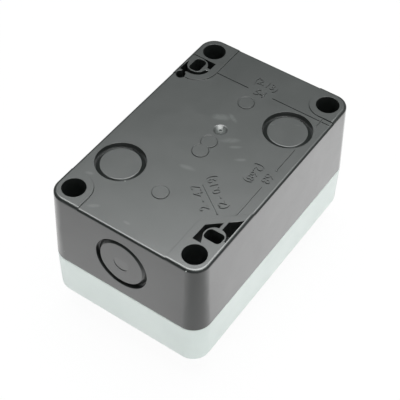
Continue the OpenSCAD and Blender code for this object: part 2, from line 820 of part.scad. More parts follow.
module contact_bridge(open) color("goldenrod") {
    zb = bridge_z(open);
    tip_z = open ? zb + bridge_t : zb - tip_t;
    translate([-bridge_half_l, -bridge_w / 2, zb]) cube([2 * bridge_half_l, bridge_w, bridge_t]);
    for (s = [-1, 1]) translate([s * tip_x, 0, tip_z]) cylinder(r = tip_r, h = tip_t, $fn = small_fn);
}

module contact_spring(open) color("silver") {
    zb = bridge_z(open);
    spring_l = window_h - bridge_t - 3 * seat_gap;
    low = open ? zb - seat_gap - spring_l : zb + bridge_t + seat_gap;
    coil(contact_coil_r, contact_wire_r, low, low + spring_l, contact_turns);
}

module plunger_spring() color("silver")
    coil(
        plunger_coil_r, plunger_wire_r,
        z_plunger_end + free_gap, z_seat - spring_floor_t - seat_gap, plunger_turns
    );

// Fixed contacts: straight strips behind the bridge, or bent ones in front of it
module terminals(open) color("goldenrod") for (s = [-1, 1]) mirror([s > 0 ? 0 : 1, 0, 0]) {
    inner = open ? strip_inner_x : strip_leg_x;
    difference() {
        translate([inner, -strip_w / 2, z_strip]) cube([strip_end - inner, strip_w, strip_t]);
        translate([terminal_x, 0, z_strip - over])
            cylinder(r = terminal_screw_r + seat_gap, h = strip_t + 2 * over, $fn = small_fn);
    }
    if (open) {
        translate([tip_x, 0, z_strip - tip_t]) cylinder(r = tip_r, h = tip_t, $fn = small_fn);
    } else {
        translate([strip_inner_x, -strip_w / 2, z_low_strip])
            cube([inner - strip_inner_x + strip_t, strip_w, strip_t]);
        translate([inner, -strip_w / 2, z_low_strip])
            cube([strip_t, strip_w, z_strip - z_low_strip + strip_t]);
        translate([tip_x, 0, z_low_strip + strip_t]) cylinder(r = tip_r, h = tip_t, $fn = small_fn);
    }
}

module clamp_plates() color("silver")
for (s = [-1, 1]) translate([s * terminal_x, 0, z_clamp]) difference() {
    translate([-clamp_w / 2, -clamp_w / 2, 0]) cube([clamp_w, clamp_w, clamp_t]);
    translate([0, 0, -over])
        cylinder(r = terminal_screw_r + seat_gap, h = clamp_t + 2 * over, $fn = small_fn);
}

module terminal_screws() color("silver") for (s = [-1, 1]) translate([s * terminal_x, 0, 0]) {
    difference() {
        translate([0, 0, z_head]) cylinder(r = terminal_head_r, h = terminal_head_h, $fn = small_fn);
        translate([-terminal_head_r - over, -terminal_slot_w / 2, z_head - over])
            cube([2 * (terminal_head_r + over), terminal_slot_w, terminal_slot_depth + over]);
    }
    translate([0, 0, z_head + terminal_head_h])
        cylinder(
            r = terminal_screw_r,
            h = z_strip + strip_t + terminal_tail - z_head - terminal_head_h, $fn = small_fn
        );
}

module block_screws() color("silver")
for (s = [-1, 1]) translate([-s * ear_x, s * ear_y, z_seat - ear_t]) {
    difference() {
        translate([0, 0, -block_screw_head_h])
            cylinder(r = block_screw_head_r, h = block_screw_head_h, $fn = small_fn);
        translate([0, 0, -block_screw_head_h])
            cross_recess(block_cross, block_cross_w, block_cross_depth);
    }
    cylinder(r = block_screw_r, h = ear_t + block_screw_bite - free_gap, $fn = small_fn);
}

module at_start() { translate([0, start_y, 0]) children(); }
module at_stop() { translate([0, stop_y, 0]) children(); }

front_cover();
cover_gasket();
cover_screws();
screw_retainers();
back_box();
at_start() bezel();  // start_bezel
at_start() panel_seal();  // start_panel_seal
at_start() fixing_nut();  // start_fixing_nut
at_start() stem_guide();  // start_stem_guide
at_start() stem_seal();  // start_stem_seal
at_start() return_spring();  // start_return_spring
at_start() cap("seagreen");  // start_cap
at_start() stem();  // start_stem
at_stop() bezel();  // stop_bezel
at_stop() panel_seal();  // stop_panel_seal
at_stop() fixing_nut();  // stop_fixing_nut
at_stop() stem_guide();  // stop_stem_guide
at_stop() stem_seal();  // stop_stem_seal
at_stop() return_spring();  // stop_return_spring
at_stop() cap("firebrick");  // stop_cap
at_stop() stem();  // stop_stem
at_start() block_housing();  // start_block_housing
at_start() block_cover();  // start_block_cover
at_start() plunger(true);  // start_plunger
at_start() contact_bridge(true);  // start_contact_bridge
at_start() contact_spring(true);  // start_contact_spring
at_start() plunger_spring();  // start_plunger_spring
at_start() terminals(true);  // start_terminals
at_start() terminal_screws();  // start_terminal_screws
at_start() clamp_plates();  // start_clamp_plates
at_start() block_screws();  // start_block_screws
at_stop() block_housing();  // stop_block_housing
at_stop() block_cover();  // stop_block_cover
at_stop() plunger(false);  // stop_plunger
at_stop() contact_bridge(false);  // stop_contact_bridge
at_stop() contact_spring(false);  // stop_contact_spring
at_stop() plunger_spring();  // stop_plunger_spring
at_stop() terminals(false);  // stop_terminals
at_stop() terminal_screws();  // stop_terminal_screws
at_stop() clamp_plates();  // stop_clamp_plates
at_stop() block_screws();  // stop_block_screws
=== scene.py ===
import json
import math

import bmesh
import bpy
from mathutils import Matrix, Vector
from mathutils.kdtree import KDTree


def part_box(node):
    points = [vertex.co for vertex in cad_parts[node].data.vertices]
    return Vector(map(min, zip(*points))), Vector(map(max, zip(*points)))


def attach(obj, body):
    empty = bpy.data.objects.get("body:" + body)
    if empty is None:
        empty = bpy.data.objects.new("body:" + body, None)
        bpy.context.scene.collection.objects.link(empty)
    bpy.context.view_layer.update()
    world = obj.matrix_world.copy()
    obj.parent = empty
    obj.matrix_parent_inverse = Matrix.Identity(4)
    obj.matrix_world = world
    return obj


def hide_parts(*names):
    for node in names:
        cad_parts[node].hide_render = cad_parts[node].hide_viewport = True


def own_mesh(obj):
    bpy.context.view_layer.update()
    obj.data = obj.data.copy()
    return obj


mm = 0.001  # Blender works in metres, sizes below are given in millimetres

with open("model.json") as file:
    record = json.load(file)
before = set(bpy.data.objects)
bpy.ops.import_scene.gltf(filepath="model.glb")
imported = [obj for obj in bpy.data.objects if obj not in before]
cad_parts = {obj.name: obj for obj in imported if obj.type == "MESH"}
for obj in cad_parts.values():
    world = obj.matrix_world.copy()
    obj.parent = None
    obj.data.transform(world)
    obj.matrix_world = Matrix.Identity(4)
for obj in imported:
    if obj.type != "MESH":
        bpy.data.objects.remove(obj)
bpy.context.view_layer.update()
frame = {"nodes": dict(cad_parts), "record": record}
bpy.ops.object.select_all(action="DESELECT")
print("frame loaded:", len(frame["nodes"]), "nodes")

bodyOf = {node: body for body, nodes in frame["record"]["behaviour"]["bodies"].items() for node in nodes}
slotOf = {row["node"]: row["material_slot"] for row in frame["record"]["subparts"]}
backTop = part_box("back_box")[1].z  # the corner pads of the back lie here
padRise = 0.4  # they stand this high above the plate between them
plateTop = backTop - padRise * mm
buttonY = {"start": 15, "stop": -15}  # middles of the two buttons


# Camera, fitted to the outline, the holes and the slots of the photograph
camera = {
    "azimuth": 33.76,  # degrees, 0 looks along +Y
    "elevation": 48.99,
    "roll": 1.21,
    "distance": 404.9,  # from the middle of the back plate
    "right": -1.54,  # how far the middle of the picture lies beside that point
    "up": -20.31,
    "lens": 99.45,
    "sensor": 36,  # width that the lens belongs to
    "nearest": 10,  # what is closer than this isn't drawn
}


def makeCamera(c):
    a, e, r = (math.radians(c[k]) for k in ("azimuth", "elevation", "roll"))
    back = Vector((math.sin(a) * math.cos(e), -math.cos(a) * math.cos(e), math.sin(e)))
    right = Vector((math.cos(a), math.sin(a), 0))
    up = back.cross(right)
    place = (back * c["distance"] + right * c["right"] + up * c["up"]) * mm
    place.z += backTop
    turnedRight = math.cos(r) * right + math.sin(r) * up
    turnedUp = math.cos(r) * up - math.sin(r) * right
    turn = Matrix((turnedRight, turnedUp, back)).transposed().to_4x4()
    bpy.ops.object.camera_add()
    lens = bpy.context.object
    lens.name = "camera"
    lens.matrix_world = Matrix.Translation(place) @ turn
    lens.data.lens = c["lens"]
    lens.data.sensor_width = c["sensor"]
    lens.data.clip_start = c["nearest"] * mm
    bpy.context.scene.camera = lens


makeCamera(camera)
print("camera placed")


# Materials

def toLinear(code):
    channels = [int(code[i:i + 2], 16) / 255 for i in (1, 3, 5)]
    return [c / 12.92 if c <= 0.04045 else ((c + 0.055) / 1.055) ** 2.4 for c in channels] + [1]


def perMetre(size):  # texture scale whose features are about this many millimetres wide
    return 1 / (size * mm)


def addNode(tree, kind, inputs=None, **settings):
    node = tree.nodes.new(kind)
    for name, value in settings.items():
        setattr(node, name, value)
    for name, value in (inputs or {}).items():
        if isinstance(value, bpy.types.NodeSocket):
            tree.links.new(value, node.inputs[name])
        else:
            node.inputs[name].default_value = value
    return node


def newMaterial(name, shader):
    material = bpy.data.materials.new(name)
    material.use_nodes = True
    principled = material.node_tree.nodes["Principled BSDF"]
    for socket, value in shader.items():
        principled.inputs[socket].default_value = value
    return material, material.node_tree, principled


# How deep a point lies in the nearest of some soft-edged ellipsoids, 0 outside and 1 in the middle
def nearMarks(tree, place, marks):
    nearest = None
    for centre, halves, turn in marks:
        inside = addNode(tree, "ShaderNodeMapping", {
            "Vector": place, "Location": Vector(centre) * mm, "Rotation": (0, 0, math.radians(turn)),
            "Scale": Vector(halves) * mm}, vector_type="TEXTURE")
        reach = addNode(tree, "ShaderNodeVectorMath", {0: inside.outputs["Vector"]}, operation="LENGTH")
        share = addNode(tree, "ShaderNodeMapRange", {
            "Value": reach.outputs["Value"], "To Min": 1, "To Max": 0}, interpolation_type="SMOOTHSTEP")
        strongest = {0: share.outputs["Result"], 1: 0.0 if nearest is None else nearest}
        nearest = addNode(tree, "ShaderNodeMath", strongest, operation="MAXIMUM").outputs[0]
    return nearest


# Injection-moulded parts: an even colour with faint clouds, a fine spark-eroded grain from the mould,
# patches that hands and the tray have polished, a few hairline scratches and some lint
moulding = {  # what all mouldings share: noise values between which a pattern fades in
    "cloudSpan": (0.3, 0.7), "smudgeSpan": (0.35, 0.65), "scratchSpan": (0.78, 0.84),
    "scratchTilt": (0.3, 0.2),  # keeps the scratches off the object's own directions
    "scratchRough": 0.15,  # how much duller a scratch is
}


def plasticColour(tree, place, look):
    low, high = moulding["cloudSpan"]
    clouds = addNode(tree, "ShaderNodeTexNoise", {
        "Vector": place, "Scale": perMetre(look["cloud"]), "Detail": 4, "Roughness": 0.6})
    spread = addNode(tree, "ShaderNodeMapRange", {
        "Value": clouds.outputs["Fac"], "From Min": low, "From Max": high})
    colour = addNode(tree, "ShaderNodeMix", {
        "Factor": spread.outputs["Result"], 6: toLinear(look["dark"]), 7: toLinear(look["light"])},
        data_type="RGBA")
    dust = addNode(tree, "ShaderNodeTexVoronoi", {
        "Vector": place, "Scale": perMetre(look["lintSpacing"])})
    largest = look["lintSize"] / look["lintSpacing"]
    size = addNode(tree, "ShaderNodeMath", {0: dust.outputs["Color"], 1: largest}, operation="MULTIPLY")
    rare = addNode(tree, "ShaderNodeMath", {
        0: size.outputs[0], 1: look["lintShare"] * largest}, operation="SUBTRACT")
    lint = addNode(tree, "ShaderNodeMath", {
        0: dust.outputs["Distance"], 1: rare.outputs[0]}, operation="LESS_THAN")
    colour = addNode(tree, "ShaderNodeMix", {
        "Factor": lint.outputs[0], 6: colour.outputs[2], 7: toLinear(look["lint"])}, data_type="RGBA")
    for kind in look.get("marks", ()):  # marks that the photograph shows in certain places
        near = nearMarks(tree, place, kind["places"])
        torn = addNode(tree, "ShaderNodeTexNoise", {
            "Vector": place, "Scale": perMetre(kind["grain"]), "Detail": 3, "Distortion": 1.0})
        broken = addNode(tree, "ShaderNodeMath", {0: near, 1: torn.outputs["Fac"]}, operation="MULTIPLY")
        amount = addNode(tree, "ShaderNodeMapRange", {
            "Value": broken.outputs[0], "From Min": kind["from"], "From Max": kind["to"],
            "To Max": kind["most"]})
        colour = addNode(tree, "ShaderNodeMix", {
            "Factor": amount.outputs["Result"], 6: colour.outputs[2], 7: toLinear(kind["colour"])},
            data_type="RGBA")
    return colour.outputs[2]


def plasticSheen(tree, place, look):
    low, high = moulding["smudgeSpan"]
    smudges = addNode(tree, "ShaderNodeTexNoise", {
        "Vector": place, "Scale": perMetre(look["smudge"]), "Detail": 5, "Roughness": 0.65,
        "Distortion": 0.6})
    sheen = addNode(tree, "ShaderNodeMapRange", {
        "Value": smudges.outputs["Fac"], "From Min": low, "From Max": high,
        "To Min": look["smooth"], "To Max": look["rough"]})
    turned = addNode(tree, "ShaderNodeMapping", {
        "Vector": place, "Rotation": moulding["scratchTilt"] + (look["scratchTurn"],),
        "Scale": (1, look["scratchStretch"], 1)})
    hairs = addNode(tree, "ShaderNodeTexNoise", {
        "Vector": turned.outputs["Vector"], "Scale": perMetre(look["scratch"]), "Detail": 2})
    low, high = moulding["scratchSpan"]
    scratches = addNode(tree, "ShaderNodeMapRange", {
        "Value": hairs.outputs["Fac"], "From Min": low, "From Max": high})
    scratched = addNode(tree, "ShaderNodeMix", {
        "Factor": scratches.outputs["Result"], 2: sheen.outputs["Result"],
        3: look["rough"] + moulding["scratchRough"]})
    return scratched.outputs[0]


def plasticRelief(tree, place, look):
    grain = addNode(tree, "ShaderNodeTexNoise", {
        "Vector": place, "Scale": perMetre(look["grain"]), "Detail": 3, "Roughness": 0.7})
    waves = addNode(tree, "ShaderNodeTexNoise", {
        "Vector": place, "Scale": perMetre(look["wave"]), "Detail": 1})
    wavy = addNode(tree, "ShaderNodeBump", {
        "Strength": 1.0, "Distance": look["waveDepth"] * mm, "Height": waves.outputs["Fac"]})
    bumpy = addNode(tree, "ShaderNodeBump", {
        "Strength": 1.0, "Distance": look["grainDepth"] * mm, "Height": grain.outputs["Fac"],
        "Normal": wavy.outputs["Normal"]})
    return bumpy.outputs["Normal"]


def mouldedPlastic(name, look):
    material, tree, shader = newMaterial(name, look["shader"])
    place = addNode(tree, "ShaderNodeTexCoord").outputs["Object"]
    tree.links.new(plasticColour(tree, place, look), shader.inputs["Base Color"])
    tree.links.new(plasticSheen(tree, place, look), shader.inputs["Roughness"])
    tree.links.new(plasticRelief(tree, place, look), shader.inputs["Normal"])
    return material


# Polyamide from a finely eroded mould: nearly black, under a thin gloss that mirrors lamps softly
basePlastic = {
    "shader": {"IOR": 1.53, "Specular IOR Level": 0.85, "Coat Weight": 1.0, "Coat Roughness": 0.16},
    "dark": "#232625", "light": "#292c2b", "cloud": 14,
    "smudge": 11, "smooth": 0.285, "rough": 0.335,
    "scratch": 1.1, "scratchStretch": 0.05, "scratchTurn": 0.9,
    "lint": "#c9cdca", "lintSpacing": 6.5, "lintSize": 0.42, "lintShare": 0.72,
    "grain": 0.45, "grainDepth": 0.0025, "wave": 22, "waveDepth": 0.12,
}

# The back box shows flow blush beside its feed point, pale crumbs, and two dark rubs on its end
blush = {
    "colour": "#646866", "most": 0.3, "grain": 2.6, "from": 0.05, "to": 0.4,
    "places": [  # middle, half lengths, turn about Z in degrees
        ((-3.4, 15.6, 63.6), (5.2, 2.6, 2), 25), ((0.6, 17.6, 63.6), (4.2, 1.4, 2), -30),
        ((6.0, 7.4, 63.6), (5.6, 1.9, 2), 35), ((9.4, 5.6, 63.6), (4.0, 1.1, 2), 35),
        ((1.0, -12.8, 63.6), (4.6, 1.6, 2), 10), ((14.4, 1.3, 63.6), (3.6, 1.1, 2), 35),
        ((-26.1, -35.3, 63.6), (2.6, 1.1, 2), 20), ((-15.3, -46.6, 63.6), (3.4, 1.2, 2), 35),
        ((-1.2, -46.1, 63.6), (2.2, 1.0, 2), 0), ((13.3, 24.0, 63.4), (3.0, 0.7, 2), 35),
        ((21.6, 29.4, 63.4), (2.4, 0.6, 2), 20),
    ],
}
gateBlush = {  # the plastic is paler where the sprue was torn off
    "colour": "#9da19f", "most": 0.4, "grain": 0.7, "from": 0.04, "to": 0.40,
    "places": [((0, 9.87, 63.2), (3.3, 3.3, 2.5), 0)],
}
crumbs = {
    "colour": "#dfe3e0", "most": 1.0, "grain": 0.3, "from": 0.2, "to": 0.3,
    "places": [
        ((-23.3, -21.9, 63.4), (0.45, 0.35, 1), 20), ((-18.3, -16.5, 63.4), (0.3, 0.3, 1), 0),
        ((-15.8, -22.4, 63.4), (0.35, 0.25, 1), 40), ((-14.9, -23.6, 63.4), (0.3, 0.2, 1), 0),
        ((-15.6, -25.4, 63.4), (0.5, 0.22, 1), 30), ((-17.6, -21.7, 63.4), (0.25, 0.25, 1), 0),
        ((-13.4, -31.0, 63.2), (0.75, 0.35, 1), 35), ((25.7, 16.7, 63.2), (0.6, 0.3, 1), 30),
        ((27.4, -51.2, 63.2), (0.35, 0.3, 0.5), 0), ((32.8, -48.2, 63.2), (0.35, 0.3, 0.5), 0),
    ],
}
rubs = {
    "colour": "#0d0e0e", "most": 0.85, "grain": 0.5, "from": 0.15, "to": 0.35,
    "places": [((-20.6, -51.9, 36.0), (1.3, 1, 0.22), 0), ((16.5, -51.8, 51.0), (0.3, 1, 0.3), 0)],
}
backBoxPlastic = dict(basePlastic, marks=(blush, gateBlush, crumbs, rubs))

# ABS from an eroded mould: pale, even and duller than the base
coverPlastic = {
    "shader": {"IOR": 1.52, "Specular IOR Level": 0.5},
    "dark": "#dae2df", "light": "#e2e9e6", "cloud": 20,
    "smudge": 14, "smooth": 0.36, "rough": 0.44,
    "scratch": 1.1, "scratchStretch": 0.05, "scratchTurn": 0.4,
    "lint": "#a9aeab", "lintSpacing": 9, "lintSize": 0.3, "lintShare": 0.8,
    "grain": 0.45, "grainDepth": 0.005, "wave": 25, "waveDepth": 0.08,
}

# Polyamide from a polished mould: black, and lamps show in it with a clear edge
bezelPlastic = {
    "shader": {"IOR": 1.50, "Specular IOR Level": 0.6, "Coat Weight": 0.3, "Coat Roughness": 0.12},
    "dark": "#1a1b1c", "light": "#212223", "cloud": 9,
    "smudge": 7, "smooth": 0.17, "rough": 0.26,
    "scratch": 0.9, "scratchStretch": 0.06, "scratchTurn": 0.5,
    "lint": "#8c8f90", "lintSpacing": 8, "lintSize": 0.22, "lintShare": 0.8,
    "grain": 0.3, "grainDepth": 0.003, "wave": 9, "waveDepth": 0.03,
}

# Polyamide with glass fibres, which come to its skin: dull and blotchy
nutPlastic = {
    "shader": {"IOR": 1.55, "Specular IOR Level": 0.5},
    "dark": "#2a2b2c", "light": "#3a3b3c", "cloud": 1.6,
    "smudge": 3, "smooth": 0.45, "rough": 0.62,
    "scratch": 0.6, "scratchStretch": 0.12, "scratchTurn": 1.2,
    "lint": "#77797a", "lintSpacing": 5, "lintSize": 0.2, "lintShare": 0.7,
    "grain": 0.22, "grainDepth": 0.012, "wave": 6, "waveDepth": 0.03,
}

# Polycarbonate, moulded in its own colour: clean and strong in colour, with a satin face
startPlastic = {
    "shader": {"IOR": 1.50, "Specular IOR Level": 0.55, "Coat Weight": 0.2, "Coat Roughness": 0.15},
    "dark": "#0f7a3f", "light": "#178a49", "cloud": 8,
    "smudge": 6, "smooth": 0.285, "rough": 0.38,
    "scratch": 0.9, "scratchStretch": 0.06, "scratchTurn": 0.7,
    "lint": "#b9c9bf", "lintSpacing": 9, "lintSize": 0.2, "lintShare": 0.8,
    "grain": 0.3, "grainDepth": 0.004, "wave": 8, "waveDepth": 0.03,
}
stopPlastic = dict(startPlastic, dark="#b01a1c", light="#c02524", lint="#dcbdb9")

# Polyamide for electrical parts: flat grey, with hardly a highlight
blockPlastic = {
    "shader": {"IOR": 1.55, "Specular IOR Level": 0.45},
    "dark": "#8b8f90", "light": "#979b9b", "cloud": 10,
    "smudge": 5, "smooth": 0.40, "rough": 0.52,
    "scratch": 0.8, "scratchStretch": 0.08, "scratchTurn": 0.2,
    "lint": "#5f6263", "lintSpacing": 7, "lintSize": 0.2, "lintShare": 0.8,
    "grain": 0.25, "grainDepth": 0.006, "wave": 12, "waveDepth": 0.04,
}

# Acetal in its natural colour: waxy off-white that lets light in a little way
slidePlastic = {
    "shader": {"IOR": 1.48, "Specular IOR Level": 0.5, "Subsurface Weight": 0.25,
               "Subsurface Radius": (0.0012, 0.0010, 0.0007), "Subsurface Scale": 1.0},
    "dark": "#dfdcd0", "light": "#e8e6dc", "cloud": 6,
    "smudge": 4, "smooth": 0.30, "rough": 0.42,
    "scratch": 0.7, "scratchStretch": 0.05, "scratchTurn": 0.1,
    "lint": "#b5b1a2", "lintSpacing": 7, "lintSize": 0.15, "lintShare": 0.8,
    "grain": 0.3, "grainDepth": 0.003, "wave": 6, "waveDepth": 0.02,
}


# Pressed rubber: black with a grey bloom, matt, with the fine pitting of its mould
sealRubber = {
    "shader": {"IOR": 1.52, "Specular IOR Level": 0.35, "Sheen Weight": 0.1},
    "black": "#191a1a", "grey": "#2e2f2f", "bloom": 4, "bloomSpan": (0.42, 0.72),
    "smooth": 0.55, "rough": 0.75, "pit": 0.35, "pitDepth": 0.02,
}


def blackRubber(name, look):
    material, tree, shader = newMaterial(name, look["shader"])
    place = addNode(tree, "ShaderNodeTexCoord").outputs["Object"]
    low, high = look["bloomSpan"]
    bloom = addNode(tree, "ShaderNodeTexNoise", {
        "Vector": place, "Scale": perMetre(look["bloom"]), "Detail": 5, "Roughness": 0.7})
    patches = addNode(tree, "ShaderNodeMapRange", {
        "Value": bloom.outputs["Fac"], "From Min": low, "From Max": high})
    colour = addNode(tree, "ShaderNodeMix", {
        "Factor": patches.outputs["Result"], 6: toLinear(look["black"]), 7: toLinear(look["grey"])},
        data_type="RGBA")
    tree.links.new(colour.outputs[2], shader.inputs["Base Color"])
    matt = addNode(tree, "ShaderNodeMapRange", {
        "Value": patches.outputs["Result"], "To Min": look["smooth"], "To Max": look["rough"]})
    tree.links.new(matt.outputs["Result"], shader.inputs["Roughness"])
    pits = addNode(tree, "ShaderNodeTexVoronoi", {"Vector": place, "Scale": perMetre(look["pit"])})
    bumpy = addNode(tree, "ShaderNodeBump", {
        "Strength": 0.6, "Distance": look["pitDepth"] * mm, "Height": pits.outputs["Distance"]})
    tree.links.new(bumpy.outputs["Normal"], shader.inputs["Normal"])
    return material


# Metals: tarnish or passivation in soft patches, and fine lines drawn, rolled or turned along one axis
working = {"patchSpan": (0.35, 0.68), "lineSpan": (0.3, 0.7)}  # noise values between which they fade in


def workedMetal(name, look):
    material, tree, shader = newMaterial(name, {"Metallic": 1.0})
    place = addNode(tree, "ShaderNodeTexCoord").outputs["Object"]
    low, high = working["patchSpan"]
    patches = addNode(tree, "ShaderNodeTexNoise", {
        "Vector": place, "Scale": perMetre(look["patch"]), "Detail": 4, "Roughness": 0.6, "Distortion": 0.4})
    spread = addNode(tree, "ShaderNodeMapRange", {
        "Value": patches.outputs["Fac"], "From Min": low, "From Max": high})
    colour = addNode(tree, "ShaderNodeMix", {
        "Factor": spread.outputs["Result"], 6: toLinear(look["clean"]), 7: toLinear(look["tarnish"])},
        data_type="RGBA")
    tree.links.new(colour.outputs[2], shader.inputs["Base Color"])
    turned = addNode(tree, "ShaderNodeMapping", {"Vector": place, "Scale": look["stretch"]})
    lines = addNode(tree, "ShaderNodeTexNoise", {
        "Vector": turned.outputs["Vector"], "Scale": perMetre(look["line"]), "Detail": 3})
    low, high = working["lineSpan"]
    sheen = addNode(tree, "ShaderNodeMapRange", {
        "Value": lines.outputs["Fac"], "From Min": low, "From Max": high,
        "To Min": look["smooth"], "To Max": look["rough"]})
    tree.links.new(sheen.outputs["Result"], shader.inputs["Roughness"])
    bumpy = addNode(tree, "ShaderNodeBump", {
        "Strength": 0.5, "Distance": look["lineDepth"] * mm, "Height": lines.outputs["Fac"]})
    tree.links.new(bumpy.outputs["Normal"], shader.inputs["Normal"])
    return material


# Steel, zinc plated and passivated: bright, with a yellowish cast in patches and fine turning lines
screwSteel = {
    "clean": "#c9ccd0", "tarnish": "#b9b49f", "patch": 2.2,
    "stretch": (1, 1, 6), "line": 0.35, "lineDepth": 0.004, "smooth": 0.285, "rough": 0.42,
}

# Hard-drawn spring wire: grey and even, with a soft line of light along the wire
springSteel = {
    "clean": "#b4b6b9", "tarnish": "#8f9092", "patch": 3,
    "stretch": (1, 1, 4), "line": 0.2, "lineDepth": 0.002, "smooth": 0.285, "rough": 0.38,
}

# Brass strip, stamped: warm yellow that has tarnished in patches, with rolling lines along the strip
contactBrass = {
    "clean": "#d9b765", "tarnish": "#b08a48", "patch": 3.5,
    "stretch": (0.1, 1, 1), "line": 0.25, "lineDepth": 0.003, "smooth": 0.285, "rough": 0.44,
}

finishes = {
    "base_plastic": mouldedPlastic("polyamideSatinDarkGrey", basePlastic),
    "back_box": mouldedPlastic("polyamideSatinDarkGreyBlushed", backBoxPlastic),
    "cover_plastic": mouldedPlastic("absSatinPaleGrey", coverPlastic),
    "seal_rubber": blackRubber("rubberPressedBlack", sealRubber),
    "bezel_plastic": mouldedPlastic("polyamideGlossBlack", bezelPlastic),
    "nut_plastic": mouldedPlastic("polyamideGlassFilledBlack", nutPlastic),
    "start_plastic": mouldedPlastic("polycarbonateSatinGreen", startPlastic),
    "stop_plastic": mouldedPlastic("polycarbonateSatinRed", stopPlastic),
    "slide_plastic": mouldedPlastic("acetalNatural", slidePlastic),
    "block_plastic": mouldedPlastic("polyamideGrey", blockPlastic),
    "screw_steel": workedMetal("steelZincPlated", screwSteel),
    "spring_steel": workedMetal("springWireDrawn", springSteel),
    "contact_brass": workedMetal("brassStamped", contactBrass),
}
print("materials made")


# Handling of pieces

def pick(*pieces):
    bpy.ops.object.select_all(action="DESELECT")
    for piece in pieces:
        piece.select_set(True)
    bpy.context.view_layer.objects.active = pieces[0]


def applyPlace(piece):
    pick(piece)
    bpy.ops.object.transform_apply(location=True, rotation=True, scale=True)


def applyModifiers(piece):
    pick(piece)
    for modifier in list(piece.modifiers):
        bpy.ops.object.modifier_apply(modifier=modifier.name)


def joinAll(pieces):
    pick(*pieces)
    if len(pieces) > 1:
        bpy.ops.object.join()
    return bpy.context.object


def chooseVertices(piece, wanted):  # leaves edit mode with only the wanted vertices selected
    bpy.ops.object.mode_set(mode="EDIT")
    bpy.ops.mesh.select_mode(type="VERT")
    bpy.ops.mesh.select_all(action="DESELECT")
    mesh = bmesh.from_edit_mesh(piece.data)
    for vertex in mesh.verts:
        vertex.select_set(wanted(vertex.co / mm))
    mesh.select_flush(True)
    bmesh.update_edit_mesh(piece.data)


def finishPiece(piece, name, body, slot, *nodes):
    piece.name = name
    piece.data.name = name
    piece.data.materials.clear()
    piece.data.materials.append(finishes["back_box" if "back_box" in nodes else slot])
    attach(piece, body)
    if nodes:
        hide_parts(*nodes)
    piece.select_set(False)
    return piece


# Rounded copies: each hard edge of the solids gets the small radius that its mould or die leaves
edges = {
    "back_box": 0.09, "front_cover": 0.12, "cover_gasket": 0.2, "cover_screws": 0.12, "screw_retainers": 0.12,
    "bezel": 0.18, "panel_seal": 0.12, "fixing_nut": 0.12, "stem_guide": 0.12, "stem_seal": 0.12,
    "cap": 0.18, "stem": 0.15, "block_housing": 0.2, "block_cover": 0.15, "plunger": 0.15,
    "contact_bridge": 0.08, "terminals": 0.08, "terminal_screws": 0.1, "clamp_plates": 0.08,
    "block_screws": 0.1, "segments": 2,
    "hardFrom": 20,  # degrees, sharper corners are rounded
    "softBelow": 16,  # and flatter ones are shaded smooth
    "foldedFrom": 166,  # a corner as sharp as this has folded over
    "spared": 0.4,  # edges this close to a fold stay hard
    "attempts": 6,
    "level": 0.99999,  # upward part of the normal of a level face
    "merge": 0.001,  # corners this close are one
}


def mergeClose(piece):
    pick(piece)
    bpy.ops.object.mode_set(mode="EDIT")
    bpy.ops.mesh.select_all(action="SELECT")
    bpy.ops.mesh.remove_doubles(threshold=edges["merge"] * mm)
    bpy.ops.object.mode_set(mode="OBJECT")


def foldsOf(piece):  # places where a rounding was too wide for the faces beside it and folded over
    mesh = bmesh.new()
    mesh.from_mesh(piece.data)
    places = [(edge.verts[0].co + edge.verts[1].co) / 2 for edge in mesh.edges
              if edge.is_manifold and edge.calc_face_angle() > math.radians(edges["foldedFrom"])]
    mesh.free()
    return places


def markEdges(piece, folds):  # every hard edge but those close to a fold gets the rounding
    tree = KDTree(len(folds))
    for i, place in enumerate(folds):
        tree.insert(place, i)
    tree.balance()
    mesh = bmesh.new()
    mesh.from_mesh(piece.data)
    weight = mesh.edges.layers.float.new("bevel_weight_edge")
    for edge in mesh.edges:
        if edge.is_manifold and edge.calc_face_angle() > math.radians(edges["hardFrom"]):
            a, b = (vertex.co for vertex in edge.verts)
            nearest = min(tree.find(place)[2] for place in (a, b, (a + b) / 2)) if folds else math.inf
            edge[weight] = 0 if nearest < edges["spared"] * mm else 1
    mesh.to_mesh(piece.data)
    mesh.free()


def cutAway(piece, cutter):
    applyPlace(cutter)
    cut = piece.modifiers.new("cut", "BOOLEAN")
    cut.object = cutter
    applyModifiers(piece)
    bpy.data.objects.remove(cutter)


# The back plate lies lower than its corner pads, so between them its edge has a round of its own
plateEdge = {
    "radius": 1.1, "angles": (5, 16, 27, 38, 49, 60, 71, 80),  # degrees at the corners of the round
    "start": (-0.25, 0.02), "end": (1.16, -1.3),  # outwards and up, just past the plate and the wall
    "reach": 3, "above": 2.4,  # the cutter's outer and upper side
    "runs": [  # direction it faces in degrees, distance of the round's axis, from, to along the side
        (-90, 50.349, -18.9, 18.5), (90, 50.349, -18.9, 18.5),
        (180, 31.849, -25.5, 37.1), (0, 31.849, -24, 37.1),
    ],
    "slantedRun": 0,  # the one that ends at the slanted pad
    "slant": ((32.5857, -17.526), 42),  # a point of that pad's edge and its direction
    "padBlock": 20,
}


